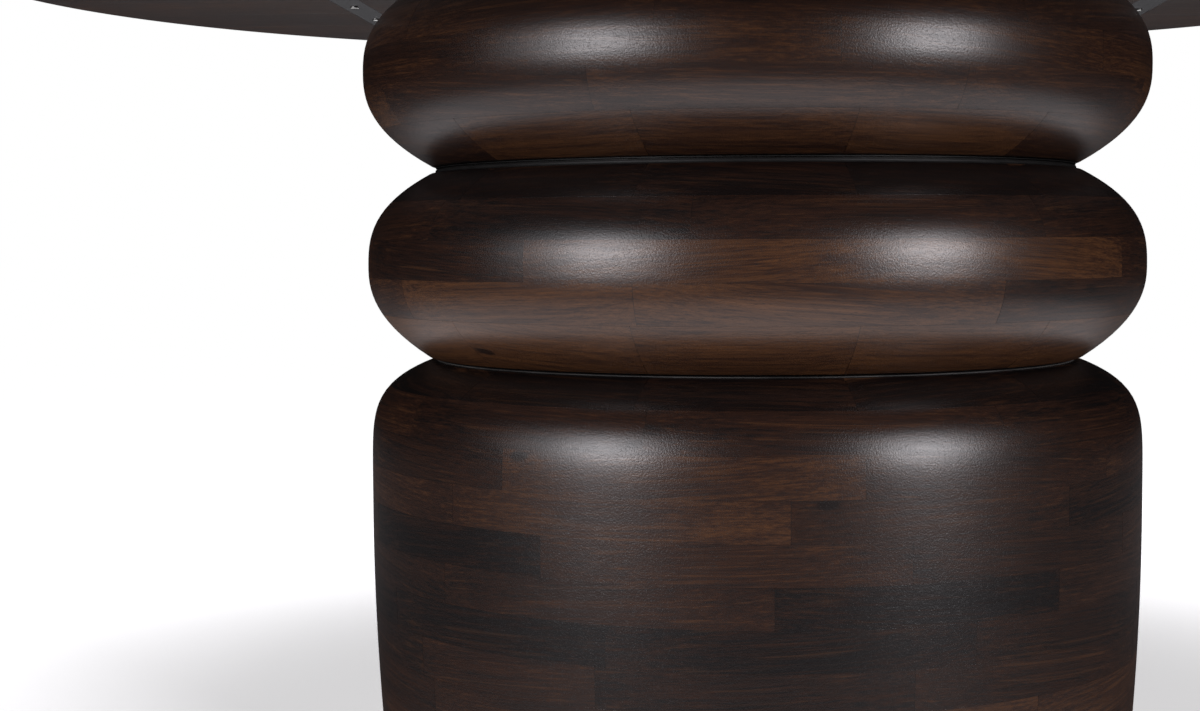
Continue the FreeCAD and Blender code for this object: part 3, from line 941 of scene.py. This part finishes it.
class TABLE_OT_make_tiers(bpy.types.Operator):
    """Turns the courses of the drum and of the two tiers on it"""

    bl_idname = "table.make_tiers"
    bl_label = "Make tiers"

    def execute(self, context):
        for tier in (DRUM, MIDDLE, UPPER):
            turned = TurnedTier(tier)
            for number in range(tier.courses):
                make_course(turned, number)
        return {"FINISHED"}


# Spacer rings in the necks. Their outlines are in millimetres: height in the ring, radius.

SPACER_RADIUS = 302.0 * MM
# Depth under the crest over which the painted highlight on the beads fades in
PAINTED_HIGHLIGHT_DEPTH = 0.4 * MM
LOWER_BEAD = ((0.0, 301.4), (0.4, 302.0), (0.9, 302.0), (1.4, 301.7), (1.8, 301.2), (2.1, 300.4))
LOWER_GAP = ((2.1, 296.0), (3.0, 296.0))
UPPER_BEAD = ((0.0, 301.2), (0.7, 301.55), (1.5, 301.7), (2.3, 301.55), (3.0, 301.2), (3.3, 300.0))
UPPER_GROOVE = ((3.3, 298.0), (4.2, 298.0))
UPPER_RIM = ((4.2, 300.6), (4.5, 301.2), (5.0, 301.2), (5.2, 300.6))
UPPER_GAP = ((5.2, 296.0), (6.0, 296.0))
SPACER_OUTLINES = {
    "lower_spacer_ring": LOWER_BEAD + LOWER_GAP,
    "upper_spacer_ring": UPPER_BEAD + UPPER_GROOVE + UPPER_RIM + UPPER_GAP,
}


class TABLE_OT_make_spacers(bpy.types.Operator):
    """Turns the spacer rings in the necks, with a rounded bead and a dark gap"""

    bl_idname = "table.make_spacers"
    bl_label = "Make spacer rings"

    def execute(self, context):
        bore = settings().joinery.spacer_bore
        for node, rises in SPACER_OUTLINES.items():
            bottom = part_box(node)[0].z
            outline = [(radius * MM, bottom + rise * MM) for rise, radius in rises]
            outline = [(bore, outline[0][1])] + outline + [(bore, outline[-1][1])]
            add_piece(lathe(outline, Vector(), RING_STEPS), node, rubbed_stain())
        return {"FINISHED"}


# Top


def round_top(radius, bottom, top):
    """New bmesh of the whole top: a disc with a half-round edge."""
    bm = bmesh.new()
    nose = (top - bottom) / 2
    points = []
    for i in range(NOSE_STEPS + 1):
        a = math.pi * (i / NOSE_STEPS - 0.5)
        points.append(Vector((radius - nose + nose * math.cos(a), 0, bottom + nose + nose * math.sin(a))))
    spin(bm, points, False, Vector(), 2 * math.pi, TOP_STEPS, merge=True)
    bmesh.ops.holes_fill(bm, edges=bm.edges[:], sides=0)
    face_outwards(bm)
    return bm


def saw_plank(disc, low, high):
    """New bmesh of the part of the top between two saw cuts along X."""
    bm = disc.copy()
    for y, side in ((low, 1), (high, -1)):
        rim = cut(bm, (0, y, 0), (0, side, 0), clear=True)
        if len(rim) > 2:
            cap(bm, rim)
    face_outwards(bm)
    return bm


def cut_groove(bm, low, high):
    """Cuts a groove between two corners into the underside of a plank, and out through its sawn sides."""
    for corner in (low, high):
        cut(bm, corner, (1, 0, 0))
        cut(bm, corner, (0, 1, 0))
    cut(bm, high, UP)

    def is_inside(face):
        middle = face.calc_center_median()
        across = low.x < middle.x < high.x and low.y < middle.y < high.y
        return across and middle.z < high.z - WELD

    sides = [f for f in bm.faces if is_inside(f) and abs(f.normal.y) > SIDEWAYS]
    places = [f.calc_center_median().y for f in sides]
    bmesh.ops.delete(bm, geom=sides, context="FACES")
    underside = [f for f in bm.faces if is_inside(f)]
    made = bmesh.ops.extrude_face_region(bm, geom=underside)["geom"]
    bmesh.ops.delete(bm, geom=underside, context="FACES")
    raised = only(bmesh.types.BMVert, made)
    bmesh.ops.translate(bm, verts=raised, vec=UP * (high.z - low.z))
    open_ends = []
    for face in bm.faces:
        y = face.calc_center_median().y
        at_side = any(abs(y - place) < WELD for place in places)
        if at_side and is_inside(face) and abs(face.normal.y) > SIDEWAYS:
            open_ends.append(face)
    bmesh.ops.delete(bm, geom=open_ends, context="FACES")
    bmesh.ops.remove_doubles(bm, verts=bm.verts[:], dist=WELD)
    face_outwards(bm)


def ease_plank(bm, low, high, edge):
    """Eases the edges of a plank's sawn sides."""
    bm.normal_update()
    sides = set()
    for face in bm.faces:
        y = face.calc_center_median().y
        if abs(face.normal.y) > SIDEWAYS and min(abs(y - low), abs(y - high)) < WELD:
            sides.add(face)
    rim = [e for e in bm.edges if sum(f in sides for f in e.link_faces) == 1]
    ease_edges(bm, rim, edge)


class TABLE_OT_make_top(bpy.types.Operator):
    """Saws the planks of the top"""

    bl_idname = "table.make_top"
    bl_label = "Make top"

    def execute(self, context):
        planks = sorted(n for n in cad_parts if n.startswith("top_plank_"))
        bottom, top = [corner.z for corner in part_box(planks[0])]
        radius = CAD_BOX[1].x
        nose = (top - bottom) / 2
        disc = round_top(radius, bottom, top)

        def nose_arm(point):
            out = axis_distance(point)
            part = (radius - nose) / out
            return point - Vector((point.x * part, point.y * part, bottom + nose))

        def is_nose(point):
            on_rim = axis_distance(point) > radius - nose - ON_SURFACE
            return on_rim and abs(nose_arm(point).length - nose) < ON_SURFACE

        joinery = settings().joinery
        chance = random.Random("planks")
        for node in planks:
            low, high = [corner.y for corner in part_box(node)]
            plank = saw_plank(disc, low, high)
            for side in ("left", "right"):
                near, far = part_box("stiffening_channel_" + side)
                room = Vector((joinery.groove_clearance, joinery.groove_clearance, 0))
                far.z = near.z + joinery.groove_depth
                if near.y < high and low < far.y:
                    cut_groove(plank, near - room, far + room)
            ease_plank(plank, low, high, joinery.plank_edge)

            def seam(point, sides=(low, high)):
                return float(min(abs(point.y - side) for side in sides) < WELD)

            tone = chance.gauss(USUAL_TONE, TONE_SPREAD)
            mark_wood(plank, 0.0, tone, chance.random(), seam, lambda point: 0.0)
            piece = add_piece(plank, node, dark_wood())
            set_normals(piece.data, is_nose, lambda point: nose_arm(point).normalized())
        disc.free()
        return {"FINISHED"}


# Fasteners. Outlines are in millimetres: radius, height above the floor.

ROD_ANGLES = spread(4, 45.0)
BOLT_ANGLES = spread(8, 22.5)
FOOT_SCREW_ANGLES = spread(12, 29.0)
LEVELLER_ANGLES = spread(4, 29.0)


def turned_piece(outline, centre):
    """New bmesh of an outline in millimetres, turned round centre."""
    return lathe([(r * MM, z * MM) for r, z in outline], centre, HARDWARE_STEPS)


def tie_rod(centre):
    """Rod with a thread at its foot."""
    outline = [(0, 18), (3.8, 18), (4.4, 18.8), (4.4, 60), (5, 60.8), (5, 713), (0, 713)]
    ridge = thread(centre, 4.35, 4.95, 18.5, 60)
    return gather([turned_piece(outline, centre), ridge])


def washer(centre):
    outline = [(5.5, 30.2), (5.7, 30), (11.5, 30), (12, 30.4), (12, 31.7), (11.7, 32), (5.5, 32)]
    return turned_piece(outline, centre)


def nut(centre):
    """Hexagon nut, chamfered at both ends and round its bore."""
    loops = [
        circle(centre, 5.0, 22.5),
        circle(centre, 5.5, 22.0),
        circle(centre, 7.6, 22.0),
        hexagon(centre, 16, 22.2, 0.6),
        hexagon(centre, 16, 29.8, -0.6),
        circle(centre, 7.6, 30.0),
        circle(centre, 5.5, 30.0),
        circle(centre, 5.0, 29.5),
    ]
    return loft(loops, joined=True)


def flanged_bolt(centre):
    """Bolt whose hexagon head looks down, on a sloped flange."""
    flange = [(0, 704), (6.5, 704.4), (8.6, 705.5), (9, 706.1), (9, 707)]
    outline = flange + [(4, 707), (4, 732), (3.2, 733), (0, 733)]
    head = [
        circle(centre, 4.9, 699.3),
        circle(centre, 5.2, 699.0),
        circle(centre, 6.1, 699.0),
        hexagon(centre, 13, 699.2, 0.5),
        hexagon(centre, 13, 705.0, 0.0),
    ]
    return gather([turned_piece(outline, centre), loft(head)])


def channel_screw(centre):
    """Screw with a domed head that holds a plank to a channel."""
    dome = [(3.5, 710.5), (4.1, 710.8), (4.5, 711.4), (4.6, 712.2), (4.6, 713)]
    shank = [(2.4, 713), (2.4, 734), (0.6, 738)]
    loops = [circle(centre, r, z) for r, z in dome + shank]
    return cross_screw(centre, 710.5, 2.3, 1.4, loops)


def foot_screw(centre):
    """Countersunk screw that holds the foot ring."""
    sizes = [(4.8, 0.6), (5, 0.8), (2.4, 3.6), (2.4, 36), (0.6, 40)]
    loops = [circle(centre, r, z) for r, z in sizes]
    return cross_screw(centre, 0.6, 2.6, 1.6, loops)


def add_fasteners(node, make, centres):
    """Makes all the like fasteners of a node."""
    add_piece(gather([make(centre) for centre in centres]), node, zinc_steel())


class TABLE_OT_make_tie_rods(bpy.types.Operator):
    """Makes the tie rods with their nuts and washers"""

    bl_idname = "table.make_tie_rods"
    bl_label = "Make tie rods"

    def execute(self, context):
        centres = [on_circle(settings().hardware.rod_circle, a) for a in ROD_ANGLES]
        add_fasteners("tie_rods", tie_rod, centres)
        add_fasteners("tie_rod_washers", washer, centres)
        add_fasteners("tie_rod_nuts", nut, centres)
        return {"FINISHED"}


class TABLE_OT_make_bolts_and_screws(bpy.types.Operator):
    """Makes the bolts and screws under the top and under the foot ring"""

    bl_idname = "table.make_bolts_and_screws"
    bl_label = "Make bolts and screws"

    def execute(self, context):
        hardware = settings().hardware
        add_fasteners("top_bolts", flanged_bolt, [on_circle(hardware.bolt_circle, a) for a in BOLT_ANGLES])
        screws = [on_circle(hardware.foot_screw_circle, a) for a in FOOT_SCREW_ANGLES]
        add_fasteners("foot_ring_screws", foot_screw, screws)
        screws = []
        for side in ("left", "right"):
            low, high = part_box("stiffening_channel_" + side)
            count = round((high.y - low.y) / hardware.screw_spacing) - 1
            for i in range(count):
                y = hardware.screw_spacing * (i - (count - 1) / 2)
                screws.append(Vector(((low.x + high.x) / 2, y, 0)))
        add_fasteners("channel_screws", channel_screw, screws)
        return {"FINISHED"}


# Levelling feet


def swivel_pad(centre):
    """Moulded pad with a hollow sole, a groove round its side and a socket for the stem."""
    sole = [(0, 0.6), (11, 0.6), (11.6, 0), (15.8, 0)]
    side = [(17.2, 0.5), (18, 1.7), (18, 3.3), (17.5, 3.7), (17.5, 4.3), (18, 4.7), (18, 6.2), (17.4, 7.4)]
    socket = [(16, 8), (6.2, 8), (5.6, 7.4), (5.6, 6), (8, 6), (8, 2.5), (0, 2.5)]
    return turned_piece(sole + side + socket, centre)


def levelling_stem(centre):
    """Stem with a button for the pad, a hexagon collar for a wrench and a thread."""
    button = [(0, 2.8), (6.8, 2.8), (7.6, 3.5), (7.6, 5), (6.9, 5.7), (4.6, 5.7)]
    shank = [(4.6, 12), (4.3, 12), (4.3, 46.8), (3.5, 48), (0, 48)]
    collar = [
        circle(centre, 6.5, 8.2),
        hexagon(centre, 14, 8.4, 0.5),
        hexagon(centre, 14, 13.0, -0.5),
        circle(centre, 6.5, 13.2),
    ]
    ridge = thread(centre, 4.25, 4.85, 12.5, 48)
    return gather([turned_piece(button + shank, centre), loft(collar), ridge])


def foot_insert(centre):
    """Threaded insert with a thin flange under the drum."""
    outline = [(5.4, 13.7), (7.8, 13.7), (8, 13.9), (8, 42), (5, 42), (5, 14.1)]
    return turned_piece(outline, centre)


class TABLE_OT_make_levellers(bpy.types.Operator):
    """Makes the levelling feet and their inserts"""

    bl_idname = "table.make_levellers"
    bl_label = "Make levelling feet"

    def execute(self, context):
        centres = [on_circle(settings().hardware.leveller_circle, a) for a in LEVELLER_ANGLES]
        inserts = gather([foot_insert(c) for c in centres])
        add_piece(inserts, "leveller_inserts", turned_brass())
        for number, centre in enumerate(centres, start=1):
            pad = "leveller_pad_%d" % number
            stem = "leveller_stem_%d" % number
            add_piece(swivel_pad(centre), pad, moulded_plastic(), pad)
            add_piece(levelling_stem(centre), stem, zinc_steel(), stem)
        return {"FINISHED"}


# Pieces whose shape is kept from the frame


class TABLE_OT_finish_frame(bpy.types.Operator):
    """Finishes the pieces whose shape is kept from the frame"""

    bl_idname = "table.finish_frame"
    bl_label = "Finish frame pieces"

    def execute(self, context):
        finishes = {
            "foot_ring": black_stain,
            "base_ring": plywood,
            "lower_dowels": beech,
            "upper_dowels": beech,
            "top_plate": powder_coat,
            "stiffening_channel_left": powder_coat,
            "stiffening_channel_right": powder_coat,
            "top_inserts": turned_brass,
        }
        for node, finish in finishes.items():
            finish_node(node, finish())
        return {"FINISHED"}


# Stage. Lengths are in metres and angles in degrees.

FLOOR_RADIUS = 40.0
FLOOR_SIDES = 96
FLOOR_TINTS = ((0.86, 0.86, 0.86), (0.90, 0.90, 0.90))
FLOOR_GLOW = 0.40
FLOOR_FADE = (1.5, 3.5)
FLOOR_BOUNCE = (0.07, 0.07, 0.07)
FLOOR_POOL = 2.56
FLOOR_POOL_CENTRE = Vector((-0.06, 0.28, 2 * MM))
FLOOR_SPREAD = 142.0
LAMP_TINT = (1.0, 0.98, 1.02)
GLOSS_GLOW = 0.004
BACKDROP_GLOW = 1.0
CAMERA_YAW = 4.312
CAMERA_PITCH = -3.444
CAMERA_ROLL = -0.294
SENSOR_WIDTH = 36.0
LAMP_AIM = Vector((0, 0, 0.42))
LAMP_DISTANCE = 4.5
LAMP_HEIGHT = 1.0
KEY_ANGLE = -40.0
LEFT_ANGLE = -60.0
SIDE_ANGLE = 48.0
BACK_ANGLE = 180.0
BACK_WIDTH = 0.9
LAMP_WIDTH = 1.7
LAMP_TALL = 0.75
UPPER_TALL = 1.2
OVERHEAD_HEIGHT = 3.6
OVERHEAD_WIDTH = 3.2


def add_softbox(name, centre, aim, width, height, power, shape="RECTANGLE"):
    light = bpy.data.lights.new(name, "AREA")
    light.shape = shape
    light.size = width
    light.size_y = height
    light.energy = power
    light.color = LAMP_TINT
    lamp = bpy.data.objects.new(name, light)
    lamp.location = centre
    lamp.rotation_euler = (aim - centre).to_track_quat("-Z", "Y").to_euler()
    lamp.visible_camera = False
    bpy.context.scene.collection.objects.link(lamp)
    return light


def make_floor():
    """Wide pale floor, which shows only from above and throws hardly any light back by itself."""
    bm = bmesh.new()
    bmesh.ops.create_circle(bm, cap_ends=True, segments=FLOOR_SIDES, radius=FLOOR_RADIUS)
    mesh = bpy.data.meshes.new("floor")
    bm.to_mesh(mesh)
    bm.free()
    finish = Finish("pale_floor")
    place = finish.place()
    clouds = finish.noise(place, scale=0.8, detail=2.0)
    tint = finish.ramp(clouds, tuple(zip(PATTERN_ENDS, FLOOR_TINTS)))
    seen = finish.node("ShaderNodeLightPath", {}, output="Is Camera Ray")
    away = finish.node("ShaderNodeVectorMath", {0: place}, output="Value", operation="LENGTH")
    far = finish.band(away, *FLOOR_FADE)
    lit = finish.mix(far, tint, (0.0, 0.0, 0.0))
    glow = finish.math("MULTIPLY", seen, finish.band(far, 0.0, 1.0, FLOOR_GLOW, BACKDROP_GLOW))
    finish.surface(Base_Color=finish.mix(seen, FLOOR_BOUNCE, lit), Roughness=0.9, Specular_IOR_Level=0.1)
    finish.surface(Emission_Color=(*WHITE, 1.0), Emission_Strength=glow)
    facing = finish.node("ShaderNodeNewGeometry", {}, output="Backfacing")
    clear = finish.node("ShaderNodeBsdfTransparent", {})
    shown = finish.node("ShaderNodeMixShader", {0: facing, 1: finish.shader.outputs[0], 2: clear})
    finish.put(finish.tree.nodes["Material Output"].inputs["Surface"], shown)
    finish.material.cycles.emission_sampling = "NONE"
    mesh.materials.append(finish.material)
    floor = bpy.data.objects.new("floor", mesh)
    bpy.context.scene.collection.objects.link(floor)
    floor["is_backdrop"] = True


def make_surround(ambient):
    """White background, with an even light from all round that hardly shows in the gloss."""
    world = bpy.data.worlds.new("surround")
    bpy.context.scene.world = world
    world.use_nodes = True
    nodes = world.node_tree.nodes
    links = world.node_tree.links
    path = nodes.new("ShaderNodeLightPath")
    nodes.remove(nodes["Background"])

    def glow(strength):
        made = nodes.new("ShaderNodeBackground")
        made.inputs["Strength"].default_value = strength
        made.inputs["Color"].default_value = (*WHITE, 1.0)
        return made.outputs[0]

    def choose(ray, usual, other):
        made = nodes.new("ShaderNodeMixShader")
        for socket, source in zip(made.inputs, (path.outputs[ray], usual, other)):
            links.new(source, socket)
        return made.outputs[0]

    by_gloss = choose("Is Glossy Ray", glow(ambient), glow(GLOSS_GLOW))
    by_camera = choose("Is Camera Ray", by_gloss, glow(BACKDROP_GLOW))
    links.new(by_camera, nodes["World Output"].inputs["Surface"])


def make_camera(stage):
    lens = bpy.data.cameras.new("camera")
    lens.lens = stage.focal_length
    lens.sensor_width = SENSOR_WIDTH
    camera = bpy.data.objects.new("camera", lens)
    turn = Matrix.Rotation(math.radians(CAMERA_YAW), 4, "Z")
    nod = Matrix.Rotation(math.radians(90 + CAMERA_PITCH), 4, "X")
    roll = Matrix.Rotation(math.radians(CAMERA_ROLL), 4, "Z")
    place = Matrix.Translation((0, -stage.camera_distance, stage.camera_height))
    camera.matrix_world = place @ turn @ nod @ roll
    bpy.context.scene.collection.objects.link(camera)
    bpy.context.scene.camera = camera


class TABLE_OT_make_stage(bpy.types.Operator):
    """Sets up the floor, the lights and the camera"""

    bl_idname = "table.make_stage"
    bl_label = "Make stage"

    def execute(self, context):
        stage = settings().stage
        make_floor()
        make_surround(stage.ambient)
        for name, angle, power in (
            ("key_softbox", KEY_ANGLE, stage.key_power),
            ("left_softbox", LEFT_ANGLE, stage.left_power),
            ("side_softbox", SIDE_ANGLE, stage.side_power),
        ):
            centre = on_circle(LAMP_DISTANCE, angle, LAMP_HEIGHT)
            add_softbox(name, centre, LAMP_AIM, LAMP_WIDTH, LAMP_TALL, power)
            centre = centre + UP * ((LAMP_TALL + UPPER_TALL) / 2)
            upper_power = power * stage.upper_share
            add_softbox(name + "_upper", centre, LAMP_AIM, LAMP_WIDTH, UPPER_TALL, upper_power)
        behind = on_circle(LAMP_DISTANCE, BACK_ANGLE, LAMP_HEIGHT)
        add_softbox("back_softbox", behind, LAMP_AIM, BACK_WIDTH, LAMP_TALL, stage.back_power)
        above = Vector((0, 0, OVERHEAD_HEIGHT))
        wide = OVERHEAD_WIDTH
        add_softbox("overhead_softbox", above, LAMP_AIM, wide, wide, stage.overhead_power)
        pool = FLOOR_POOL_CENTRE
        floor_light = add_softbox(
            "floor_light", pool, pool + UP, FLOOR_POOL, FLOOR_POOL, stage.floor_power, "DISK"
        )
        floor_light.spread = math.radians(FLOOR_SPREAD)
        make_camera(stage)
        context.scene.view_settings.view_transform = "Standard"
        return {"FINISHED"}


class TABLE_PT_panel(bpy.types.Panel):
    """Lists the steps that build the table"""

    bl_label = "Turned pedestal table"
    bl_idname = "TABLE_PT_panel"
    bl_space_type = "VIEW_3D"
    bl_region_type = "UI"
    bl_category = "Table"

    def draw(self, context):
        for operator in OPERATORS:
            self.layout.operator(operator.bl_idname)


SETTINGS = (
    DrumShape,
    MiddleShape,
    UpperShape,
    JoinerySizes,
    HardwareSizes,
    WoodFinish,
    StageSettings,
    TableSettings,
)
OPERATORS = (
    TABLE_OT_make_tiers,
    TABLE_OT_make_spacers,
    TABLE_OT_make_top,
    TABLE_OT_make_tie_rods,
    TABLE_OT_make_bolts_and_screws,
    TABLE_OT_make_levellers,
    TABLE_OT_finish_frame,
    TABLE_OT_make_stage,
)


def register():
    for made in (*SETTINGS, *OPERATORS, TABLE_PT_panel):
        bpy.utils.register_class(made)
    bpy.types.Scene.table_settings = PointerProperty(type=TableSettings)


def unregister():
    del bpy.types.Scene.table_settings
    for made in reversed((*SETTINGS, *OPERATORS, TABLE_PT_panel)):
        bpy.utils.unregister_class(made)


def write_sizes():
    boxes = {"cad": CAD_BOX, "visual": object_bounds()}
    {name: [list(corner) for corner in box] for name, box in boxes.items()}


def main():
    register()
    bpy.ops.table.make_tiers()
    bpy.ops.table.make_spacers()
    bpy.ops.table.make_top()
    bpy.ops.table.make_tie_rods()
    bpy.ops.table.make_bolts_and_screws()
    bpy.ops.table.make_levellers()
    bpy.ops.table.finish_frame()
    bpy.ops.table.make_stage()
    write_sizes()


if __name__ == "__main__":
    main()
